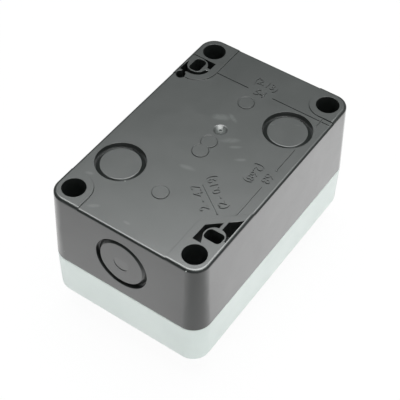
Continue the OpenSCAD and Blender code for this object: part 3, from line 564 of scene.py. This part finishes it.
def edgeCutter(look, facing, middle, start, end):
    r = look["radius"]
    ground = plateTop / mm
    arc = [(r * math.sin(math.radians(a)), r * math.cos(math.radians(a)) - r) for a in look["angles"]]
    outline = [look["start"]] + arc + [
        look["end"], (look["reach"], look["end"][1]), (look["reach"], look["above"]),
        (look["start"][0], look["above"])]
    bpy.ops.curve.primitive_nurbs_path_add()
    flat = bpy.context.object
    flat.data.dimensions = "2D"
    flat.data.fill_mode = "BOTH"
    flat.data.extrude = (end - start) / 2 * mm
    line = flat.data.splines[0]
    line.type = "POLY"
    line.use_cyclic_u = True
    line.points.add(len(outline) - len(line.points))
    for point, (out, up) in zip(line.points, outline):
        point.co = (out * mm, (ground + up) * mm, 0, 1)
    pick(flat)
    bpy.ops.object.convert(target="MESH")
    cutter = bpy.context.object
    mergeClose(cutter)
    bpy.ops.object.mode_set(mode="EDIT")
    bpy.ops.mesh.normals_make_consistent(inside=False)
    bpy.ops.object.mode_set(mode="OBJECT")
    turn = math.radians(facing)
    outwards = Vector((math.cos(turn), math.sin(turn), 0))
    along = Vector((-math.sin(turn), math.cos(turn), 0))
    cutter.rotation_euler = (math.pi / 2, 0, turn)
    cutter.location = (outwards * middle + along * (start + end) / 2) * mm
    applyPlace(cutter)
    return cutter


def trimAtSlant(cutter, look):  # leaves the slanted pad whole
    (x, y), slope = look["slant"]
    turn = math.radians(slope)
    away = Vector((math.sin(turn), -math.cos(turn), 0))
    bpy.ops.mesh.primitive_cube_add(size=look["padBlock"] * mm, rotation=(0, 0, turn))
    pad = bpy.context.object
    pad.location = (Vector((x, y, 0)) + away * look["padBlock"] / 2) * mm + Vector((0, 0, plateTop))
    cutAway(cutter, pad)


def roundPlateEdge(look):
    piece = bpy.data.objects.new("backBoxRounded", frame["nodes"]["back_box"].data.copy())
    bpy.context.scene.collection.objects.link(piece)
    mergeClose(piece)
    for run in look["runs"]:
        cutter = edgeCutter(look, *run)
        if run[0] == look["slantedRun"]:
            trimAtSlant(cutter, look)
        cutAway(piece, cutter)
    rounded = piece.data
    bpy.data.objects.remove(piece)
    return rounded


def keepFlat(piece):  # level faces keep their own shading up to the rounds beside them
    mesh = bmesh.new()
    mesh.from_mesh(piece.data)
    for side in mesh.edges:
        if side.is_manifold and len({face.normal.z > edges["level"] for face in side.link_faces}) == 2:
            side.smooth = False
    mesh.to_mesh(piece.data)
    mesh.free()


def roundedCopy(node, edge):
    folds = []
    source = roundPlateEdge(plateEdge) if node == "back_box" else frame["nodes"][node].data
    for attempt in range(edges["attempts"]):
        piece = bpy.data.objects.new(node + "Copy", source.copy())
        bpy.context.scene.collection.objects.link(piece)
        mergeClose(piece)
        bpy.ops.object.mode_set(mode="EDIT")
        bpy.ops.mesh.customdata_custom_splitnormals_clear()
        bpy.ops.object.mode_set(mode="OBJECT")
        bpy.ops.object.shade_smooth_by_angle(angle=math.radians(edges["softBelow"]))
        markEdges(piece, folds)
        bevel = piece.modifiers.new("mouldedEdge", "BEVEL")
        bevel.width = edge * mm
        bevel.segments = edges["segments"]
        bevel.limit_method = "WEIGHT"
        bevel.use_clamp_overlap = False
        bevel.face_strength_mode = "FSTR_ALL"
        applyModifiers(piece)
        newFolds = foldsOf(piece)
        if not newFolds or attempt == edges["attempts"] - 1:
            break
        folds += newFolds
        bpy.data.objects.remove(piece)
    if node == "back_box":
        keepFlat(piece)
    weighted = piece.modifiers.new("flatFaces", "WEIGHTED_NORMAL")
    weighted.use_face_influence = True  # flat faces keep their own normals up to their edge
    weighted.keep_sharp = True
    applyModifiers(piece)
    return piece


def pieceName(node):  # start_block_cover becomes startBlockCover
    first, *others = node.split("_")
    return first + "".join(word.capitalize() for word in others)


springs = {  # coil radius, wire radius, lowest and highest point, working turns
    "return_spring": (6.9, 0.35, 13.5, 22.45, 5),
    "plunger_spring": (2.28, 0.22, 50.9, 57.55, 6),
    "start_contact_spring": (1.6, 0.2, 40.7, 44.1, 3),
    "stop_contact_spring": (1.6, 0.2, 45.2, 48.6, 3),
    "pointsPerTurn": 32,
    "endClimb": 1.06,  # climb of a closed end turn in wire thicknesses
    "smoothBelow": 40,
}


def coilSpring(look, y):
    coilRadius, wireRadius, low, high, turns = look
    perTurn = springs["pointsPerTurn"]
    endClimb = 2 * wireRadius * springs["endClimb"]
    climb = (high - low - 2 * wireRadius - 2 * endClimb) / turns
    bpy.ops.curve.primitive_nurbs_path_add()
    wire = bpy.context.object
    line = wire.data.splines[0]
    line.type = "POLY"
    count = (turns + 2) * perTurn + 1
    line.points.add(count - len(line.points))
    height = low + wireRadius
    for i, point in enumerate(line.points):
        turn = i / perTurn
        angle = 2 * math.pi * turn
        x, across = coilRadius * math.cos(angle), y + coilRadius * math.sin(angle)
        point.co = (x * mm, across * mm, height * mm, 1)
        closed = turn < 1 or turn >= turns + 1
        height += (endClimb if closed else climb) / perTurn
    wire.data.bevel_depth = wireRadius * mm
    wire.data.bevel_resolution = 3
    wire.data.use_fill_caps = True
    pick(wire)
    bpy.ops.object.convert(target="MESH")
    wire = bpy.context.object
    mergeClose(wire)
    bpy.ops.object.shade_smooth_by_angle(angle=math.radians(springs["smoothBelow"]))
    applyPlace(wire)
    return wire


# Thread: a ridge with a flat crest, wound round an axis, on a shank that is taken in to its core
bodyThread = {
    "crest": 11, "root": 10.3, "foot": 1.25, "flat": 0.25,  # radii, width at the root and at the crest
    "pitch": 1.5, "low": 14.9, "turns": 6, "steps": 72,
    "cutBelow": 14.05, "cutAbove": 14.4, "core": 10.45,  # the shank narrows between these heights
    "reach": 11.05,  # what lies further out isn't the shank
}
coverScrewThread = {
    "crest": 1.95, "root": 1.4, "foot": 0.8, "flat": 0.15,
    "pitch": 1.35, "low": 31.4, "turns": 6, "steps": 24,
    "cutBelow": 30.2, "cutAbove": 30.6, "core": 1.5, "reach": 2.0,
}
threadSmoothBelow = 30
heightSlack = 0.05  # so that corners that lie on the upper cut count as above it


def threadRidge(look):
    bpy.ops.mesh.primitive_plane_add(size=1)
    ridge = bpy.context.object
    ridge.scale = ((look["crest"] - look["root"]) * mm, look["foot"] * mm, 1)
    ridge.rotation_euler = (math.pi / 2, 0, 0)
    ridge.location = ((look["crest"] + look["root"]) / 2 * mm, 0, look["low"] * mm)
    applyPlace(ridge)
    chooseVertices(ridge, lambda place: place.x > (look["crest"] + look["root"]) / 2)
    bpy.ops.transform.resize(value=(1, 1, look["flat"] / look["foot"]),
                             center_override=(look["crest"] * mm, 0, look["low"] * mm))
    bpy.ops.object.mode_set(mode="OBJECT")
    screw = ridge.modifiers.new("wound", "SCREW")
    screw.axis = "Z"
    screw.angle = 2 * math.pi
    screw.screw_offset = look["pitch"] * mm
    screw.iterations = look["turns"]
    screw.steps = look["steps"]
    screw.render_steps = look["steps"]
    screw.use_smooth_shade = False
    applyModifiers(ridge)
    mergeClose(ridge)
    bpy.ops.object.mode_set(mode="EDIT")
    bpy.ops.mesh.select_all(action="SELECT")
    bpy.ops.mesh.fill_holes(sides=4)
    bpy.ops.mesh.select_all(action="SELECT")
    bpy.ops.mesh.normals_make_consistent(inside=False)
    bpy.ops.object.mode_set(mode="OBJECT")
    bpy.ops.object.shade_smooth_by_angle(angle=math.radians(threadSmoothBelow))
    return ridge


def narrowCore(piece, look, centres):
    for height in (look["cutBelow"], look["cutAbove"]):
        bpy.ops.object.mode_set(mode="EDIT")
        bpy.ops.mesh.select_all(action="SELECT")
        bpy.ops.mesh.bisect(plane_co=(0, 0, height * mm), plane_no=(0, 0, 1))
        bpy.ops.object.mode_set(mode="OBJECT")
    share = look["core"] / look["crest"]
    for x, y in centres:
        chooseVertices(piece, lambda place: place.z > look["cutAbove"] - heightSlack
                       and look["core"] < math.hypot(place.x - x, place.y - y) < look["reach"])
        bpy.ops.transform.resize(value=(share, share, 1), center_override=(x * mm, y * mm, 0))
        bpy.ops.object.mode_set(mode="OBJECT")


def copyTo(piece, x, y):  # a copy with its own mesh, moved across
    pick(piece)
    bpy.ops.object.duplicate()
    copy = bpy.context.object
    copy.location = (x * mm, y * mm, 0)
    applyPlace(copy)
    return copy


screwX, screwY = 26, 44.2  # the cover screws stand this far from the middle
pillars = [(sx * screwX, sy * screwY) for sx in (-1, 1) for sy in (-1, 1)]


def windBezelThread(piece, y):
    narrowCore(piece, bodyThread, [(0, y)])
    ridge = threadRidge(bodyThread)
    ridge.location = (0, y * mm, 0)
    applyPlace(ridge)
    return joinAll([piece, ridge])


def windScrewThreads(piece):
    narrowCore(piece, coverScrewThread, pillars)
    ridge = threadRidge(coverScrewThread)
    piece = joinAll([piece] + [copyTo(ridge, x, y) for x, y in pillars])
    bpy.data.objects.remove(ridge)
    return piece


def squashSpring(piece):  # gives the spring a mesh of its own
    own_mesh(piece)


def makeCarriedOver():  # every solid of the frame is carried over, rounded or wound finer
    for node in frame["nodes"]:
        kind = node.replace("start_", "").replace("stop_", "")
        button = node.split("_")[0]
        if kind in springs or node in springs:
            piece = coilSpring(springs.get(node) or springs[kind], buttonY[button])
        else:
            piece = roundedCopy(node, edges[kind])
        if kind == "bezel":
            piece = windBezelThread(piece, buttonY[button])
        if kind == "cover_screws":
            piece = windScrewThreads(piece)
        finishPiece(piece, pieceName(node), bodyOf[node], slotOf[node], node)
        if kind == "return_spring":
            squashSpring(piece)
        if kind == "plunger_spring":
            squashSpring(piece)


makeCarriedOver()
print("solids rounded, springs and threads wound")


# Fine raised lines and plain numbers on the back, which give the spacing and width of the fixing slots
backLines = {
    "width": 0.34, "height": 0.3, "sunk": 0.1, "dot": 0.4,
    "crestShare": 0.45,  # width of the crest against the foot
    "runs": [  # from, to, with a dot at which ends
        ((-18.3, 34.9), (-3.9, 34.9), ""), ((6.9, 35.2), (28.0, 35.2), ""), ((28.6, 35.2), (31.9, 35.2), ""),
        ((28.1, 37.0), (28.1, 31.9), "b"), ((28.0, 17.2), (28.0, 4.4), "b"),
        ((27.9, -5.4), (27.9, -21.6), "b"), ((10.2, -16.5), (22.1, -24.8), "b"),
    ],
}
backNumbers = {
    "depth": 0.34, "sunk": 0.1, "thin": -0.02,
    "words": [  # number, middle, turn in degrees, size
        ("54", (1.5, 34.7), 0, 4.9), ("(2.13)", (1.1, 40.3), 0, 4.4),
        ("68", (27.3, -0.7), -90, 4.9), ("(2.68)", (22.1, -1.2), -90, 4.4),
        ("2 - 4.7", (12.9, -21.9), 142, 4.9), ("(2 - 0.19)", (16.4, -16.4), 142, 4.4),
    ],
}


def raisedLine(look, start, end, dots):
    a, b = Vector(start + (0,)), Vector(end + (0,))
    run = b - a
    bpy.ops.mesh.primitive_cube_add(size=1)
    bar = bpy.context.object
    tall = look["height"] + look["sunk"]
    bar.scale = (run.length * mm, look["width"] * mm, tall * mm)
    applyPlace(bar)
    chooseVertices(bar, lambda place: place.z > 0)
    bpy.ops.transform.resize(value=(1, look["crestShare"], 1), center_override=(0, 0, 0))
    bpy.ops.object.mode_set(mode="OBJECT")
    bar.rotation_euler.z = math.atan2(run.y, run.x)
    middle = (a + b) / 2
    bar.location = (middle.x * mm, middle.y * mm, plateTop + (look["height"] - tall / 2) * mm)
    applyPlace(bar)
    parts = [bar]
    for place in [{"a": a, "b": b}[key] for key in dots]:
        bpy.ops.mesh.primitive_uv_sphere_add(segments=20, ring_count=10, radius=1)
        dot = bpy.context.object
        dot.scale = (look["dot"] * mm, look["dot"] * mm, look["height"] * mm)
        dot.location = (place.x * mm, place.y * mm, plateTop)
        applyPlace(dot)
        bpy.ops.object.shade_smooth()
        parts.append(dot)
    return parts


def plainNumber(look, word, size):
    bpy.ops.object.text_add()
    text = bpy.context.object
    text.data.body = word
    text.data.size = size * mm
    text.data.align_x = "CENTER"
    text.data.align_y = "CENTER"
    text.data.offset = look["thin"] * mm
    text.data.extrude = (look["depth"] + look["sunk"]) / 2 * mm
    text.data.resolution_u = 4
    pick(text)
    bpy.ops.object.convert(target="MESH")
    mergeClose(bpy.context.object)
    return bpy.context.object


def raisedNumber(look, word, middle, turn, size):
    text = plainNumber(look, word, size)
    text.rotation_euler.z = math.radians(turn)
    text.location = (middle[0] * mm, middle[1] * mm, plateTop + (look["depth"] - look["sunk"]) / 2 * mm)
    applyPlace(text)
    return text


# Flash round the discs over the ejector pins, which stands up as a fine rim
ejectorRims = {
    "middles": (27.41, 2.42, -3.31, -27.98), "radius": 3.1, "wire": 0.15, "rise": 0.2,
    "cutBlock": 10,  # takes a rim away where it would run into its neighbour
    "smoothBelow": 50,
}


def ejectorRim(look, y):
    centre = (0, y * mm, plateTop + look["rise"] * mm)
    bpy.ops.mesh.primitive_torus_add(
        major_segments=72, minor_segments=8, major_radius=look["radius"] * mm,
        minor_radius=look["wire"] * mm, location=centre)
    rim = bpy.context.object
    applyPlace(rim)
    for other in look["middles"]:  # two of the discs run into each other
        if 0 < abs(other - y) < 2 * look["radius"]:
            middle = (y + other) / 2 + math.copysign(look["cutBlock"] / 2, other - y)
            bpy.ops.mesh.primitive_cube_add(size=look["cutBlock"] * mm, location=(0, middle * mm, plateTop))
            cutAway(rim, bpy.context.object)
    bpy.ops.object.shade_smooth_by_angle(angle=math.radians(look["smoothBelow"]))
    return rim


# Plain marks on the caps: a bar for start and a ring for stop, let in flush with a hair of relief
capMarks = {
    "face": 0.72, "thick": 0.26,  # height of a mark's face and how deep it goes
    "barWide": 1.5, "barLong": 7.2, "ringOuter": 3.9, "ringInner": 2.5,
    "drillDepth": 1, "edge": 0.06, "hardFrom": 40, "smoothBelow": 20,
}


def roundEdges(piece, look):
    bevel = piece.modifiers.new("edge", "BEVEL")
    bevel.width = look["edge"] * mm
    bevel.segments = 2
    bevel.angle_limit = math.radians(look["hardFrom"])
    applyModifiers(piece)
    return piece


def barMark(look, y):
    bpy.ops.mesh.primitive_cube_add(size=1, location=(0, y * mm, (look["face"] + look["thick"] / 2) * mm))
    bar = bpy.context.object
    bar.scale = (look["barWide"] * mm, look["barLong"] * mm, look["thick"] * mm)
    applyPlace(bar)
    return roundEdges(bar, look)


def ringMark(look, y):
    middle = (0, y * mm, (look["face"] + look["thick"] / 2) * mm)
    bpy.ops.mesh.primitive_cylinder_add(
        vertices=72, radius=look["ringOuter"] * mm, depth=look["thick"] * mm, location=middle)
    ring = bpy.context.object
    applyPlace(ring)
    bpy.ops.mesh.primitive_cylinder_add(
        vertices=72, radius=look["ringInner"] * mm, depth=look["drillDepth"] * mm, location=middle)
    cutAway(ring, bpy.context.object)
    roundEdges(ring, look)
    bpy.ops.object.shade_smooth_by_angle(angle=math.radians(look["smoothBelow"]))
    return ring


# Terminal numbers, raised on the shoulders of the contact blocks so that they read from the front
terminalNumbers = {
    "size": 2.7, "depth": 0.16, "sunk": 0.1, "thin": -0.01, "face": 40.4, "x": 18, "off": -5.3,
    "words": {"start": ("13", "14"), "stop": ("21", "22")},
}


def terminalNumber(look, word, x, y):
    text = plainNumber(look, word, look["size"])
    text.rotation_euler = (math.pi, 0, 0)
    text.location = (x * mm, y * mm, (look["face"] - (look["depth"] - look["sunk"]) / 2) * mm)
    applyPlace(text)
    return text


lineParts = [part for run in backLines["runs"] for part in raisedLine(backLines, *run)]
finishPiece(joinAll(lineParts), "backLines", "base", "base_plastic")
numberParts = [raisedNumber(backNumbers, *word) for word in backNumbers["words"]]
finishPiece(joinAll(numberParts), "backNumbers", "base", "base_plastic")
rims = [ejectorRim(ejectorRims, y) for y in ejectorRims["middles"]]
finishPiece(joinAll(rims), "ejectorRims", "base", "base_plastic")
finishPiece(barMark(capMarks, buttonY["start"]), "startMark", bodyOf["start_cap"], "cover_plastic")
finishPiece(ringMark(capMarks, buttonY["stop"]), "stopMark", bodyOf["stop_cap"], "cover_plastic")
for button, words in terminalNumbers["words"].items():
    y = buttonY[button] + terminalNumbers["off"]
    pair = [terminalNumber(terminalNumbers, word, side * terminalNumbers["x"], y)
            for side, word in zip((-1, 1), words)]
    finishPiece(joinAll(pair), button + "TerminalNumbers", bodyOf[button + "_block_housing"], "block_plastic")
print("lines, rims, numbers and marks raised")


# Studio: a pale sweep that glows near the object and falls off round it, a soft box straight above, a
# dim sky that grows brighter towards it, a dark side of the room behind the camera, and two fill lamps
# that only lighten what is matt
studio = {
    "floorSize": 6000,
    "floor": "#e9eaea",
    "floorRough": 0.9,
    "floorGlow": 0.95,  # what the camera sees of the floor's own white, the rest is its lit surface
    "mirrorNear": 0.75,  # glow that shiny faces see towards the camera's side of the floor
    "mirrorFar": 1.25,  # and on the side away from it
    "mirrorReach": (118, 165),  # mm from the object over which that glow fades down
    "mirrorLeft": 0.25,  # share of it that is left beyond
    "slopeAlong": (0.7, 0.7, 0),  # from the one side to the other
    "slopeReach": 150,  # from the middle to where the two sides are at full difference
    "dimSpot": (66, -78),  # painted shadow of the object in that glow, before the near corner
    "dimReach": (25, 75),  # from its middle to its edge
    "dimTo": 0.62,
    "sky": (0.95, 1, 0.985),  # its tint
    "skyLow": 0.1,  # radiance of the walls
    "skyHigh": 1.9,  # and of the ceiling round the soft box
    "skyFrom": 0.60,  # height on the unit sphere at which the sky starts to brighten
    "skyTo": 0.95,
    "darkSide": (-0.36, -0.76, 0.54),  # direction of the dark side
    "darkFrom": 0.60,  # cosine of the angle from it
    "darkTo": 0.80,
    "darkLeft": 0.03,  # share of the light that is left there
    "lamps": [  # name, direction from the object, distance, side, radiance against white, seen by shiny faces
        ("softBoxOverhead", (-0.08, 0.12, 1), 900, 730, 3.7, True),
        ("fillFront", (-0.2, -0.95, 0.25), 900, 700, 1.9, False),
        ("fillSide", (0.95, 0.1, 0.25), 900, 700, 1.7, False),
    ],
}


def mirroredGlow(tree, s):  # what shiny faces see of the floor's glow, place by place: painted light, dimmer on the camera's side, with a painted shadow of the object before the near corner
    place = addNode(tree, "ShaderNodeTexCoord").outputs["Object"]
    away = addNode(tree, "ShaderNodeVectorMath", {0: place}, operation="LENGTH")
    near, far = (reach * mm for reach in s["mirrorReach"])
    fade = addNode(tree, "ShaderNodeMapRange", {
        "Value": away.outputs["Value"], "From Min": near, "From Max": far,
        "To Min": 1, "To Max": s["mirrorLeft"]})
    across = addNode(tree, "ShaderNodeVectorMath", {0: place, 1: s["slopeAlong"]}, operation="DOT_PRODUCT")
    slope = addNode(tree, "ShaderNodeMapRange", {
        "Value": across.outputs["Value"], "From Min": -s["slopeReach"] * mm,
        "From Max": s["slopeReach"] * mm, "To Min": s["mirrorNear"], "To Max": s["mirrorFar"]})
    # painted shadow of the object on the floor, as shiny faces see it
    x, y = s["dimSpot"]
    spot = addNode(tree, "ShaderNodeVectorMath", {0: place, 1: (x * mm, y * mm, 0)}, operation="DISTANCE")
    near, far = (reach * mm for reach in s["dimReach"])
    paintedShadow = addNode(tree, "ShaderNodeMapRange", {
        "Value": spot.outputs["Value"], "From Min": near, "From Max": far,
        "To Min": s["dimTo"], "To Max": 1}, interpolation_type="SMOOTHSTEP")
    faded = addNode(tree, "ShaderNodeMath", {
        0: slope.outputs["Result"], 1: fade.outputs["Result"]}, operation="MULTIPLY")
    glow = addNode(tree, "ShaderNodeMath", {
        0: faded.outputs[0], 1: paintedShadow.outputs["Result"]}, operation="MULTIPLY")
    return glow.outputs[0]


def makeFloor(s):
    bpy.ops.mesh.primitive_plane_add(size=s["floorSize"] * mm, location=(0, 0, 0))
    floor = bpy.context.object
    floor.name = "floor"
    material, tree, shader = newMaterial("paperSweepWhite", {
        "Roughness": s["floorRough"], "Base Color": toLinear(s["floor"])})
    rays = addNode(tree, "ShaderNodeLightPath")
    seen = addNode(tree, "ShaderNodeMath", {
        0: rays.outputs["Is Camera Ray"], 1: rays.outputs["Is Transmission Ray"]}, operation="MAXIMUM")
    white = addNode(tree, "ShaderNodeEmission", {"Color": (1, 1, 1, 1), "Strength": 1.0})
    part = addNode(tree, "ShaderNodeMixShader", {
        "Fac": s["floorGlow"], 1: shader.outputs[0], 2: white.outputs[0]})
    mirrored = addNode(tree, "ShaderNodeEmission", {
        "Color": (1, 1, 1, 1), "Strength": mirroredGlow(tree, s)})
    shiny = addNode(tree, "ShaderNodeMixShader", {
        "Fac": rays.outputs["Is Glossy Ray"], 1: shader.outputs[0], 2: mirrored.outputs[0]})
    both = addNode(tree, "ShaderNodeMixShader", {
        "Fac": seen.outputs[0], 1: shiny.outputs[0], 2: part.outputs[0]})
    tree.links.new(both.outputs[0], tree.nodes["Material Output"].inputs["Surface"])
    floor.data.materials.append(material)
    floor.select_set(False)


def makeSky(s):
    world = bpy.data.worlds.new("studioSky")
    bpy.context.scene.world = world
    world.use_nodes = True
    tree = world.node_tree
    place = addNode(tree, "ShaderNodeTexCoord").outputs["Generated"]
    height = addNode(tree, "ShaderNodeSeparateXYZ", {"Vector": place}).outputs["Z"]
    rising = addNode(tree, "ShaderNodeMapRange", {
        "Value": height, "From Min": s["skyFrom"], "From Max": s["skyTo"],
        "To Min": s["skyLow"], "To Max": s["skyHigh"]}, interpolation_type="SMOOTHSTEP")
    toSide = addNode(tree, "ShaderNodeVectorMath", {
        0: place, 1: Vector(s["darkSide"]).normalized()}, operation="DOT_PRODUCT")
    shade = addNode(tree, "ShaderNodeMapRange", {
        "Value": toSide.outputs["Value"], "From Min": s["darkFrom"], "From Max": s["darkTo"],
        "To Min": 1, "To Max": s["darkLeft"]}, interpolation_type="SMOOTHSTEP")
    level = addNode(tree, "ShaderNodeMath", {
        0: rising.outputs["Result"], 1: shade.outputs["Result"]}, operation="MULTIPLY")
    tree.links.new(level.outputs[0], tree.nodes["Background"].inputs["Strength"])
    tree.nodes["Background"].inputs["Color"].default_value = s["sky"] + (1,)
    white = addNode(tree, "ShaderNodeBackground", {"Color": (1, 1, 1, 1), "Strength": 1.0})
    rays = addNode(tree, "ShaderNodeLightPath")  # the camera itself sees plain white
    both = addNode(tree, "ShaderNodeMixShader", {
        "Fac": rays.outputs["Is Camera Ray"], 1: tree.nodes["Background"].outputs[0],
        2: white.outputs[0]})
    tree.links.new(both.outputs[0], tree.nodes["World Output"].inputs["Surface"])


def makeLamps(s):
    for name, direction, distance, side, radiance, mirrored in s["lamps"]:
        toward = Vector(direction).normalized()
        bpy.ops.object.light_add(type="AREA", location=toward * distance * mm)
        lamp = bpy.context.object
        lamp.name = name
        lamp.rotation_euler = toward.to_track_quat("Z", "Y").to_euler()
        lamp.data.shape = "SQUARE"
        lamp.data.size = side * mm
        lamp.data.energy = radiance * math.pi * (side * mm) ** 2  # watts that give this radiance
        lamp.visible_glossy = mirrored
        lamp.select_set(False)


makeFloor(studio)
makeSky(studio)
makeLamps(studio)
bpy.context.scene.view_settings.view_transform = "Standard"
print("studio made")
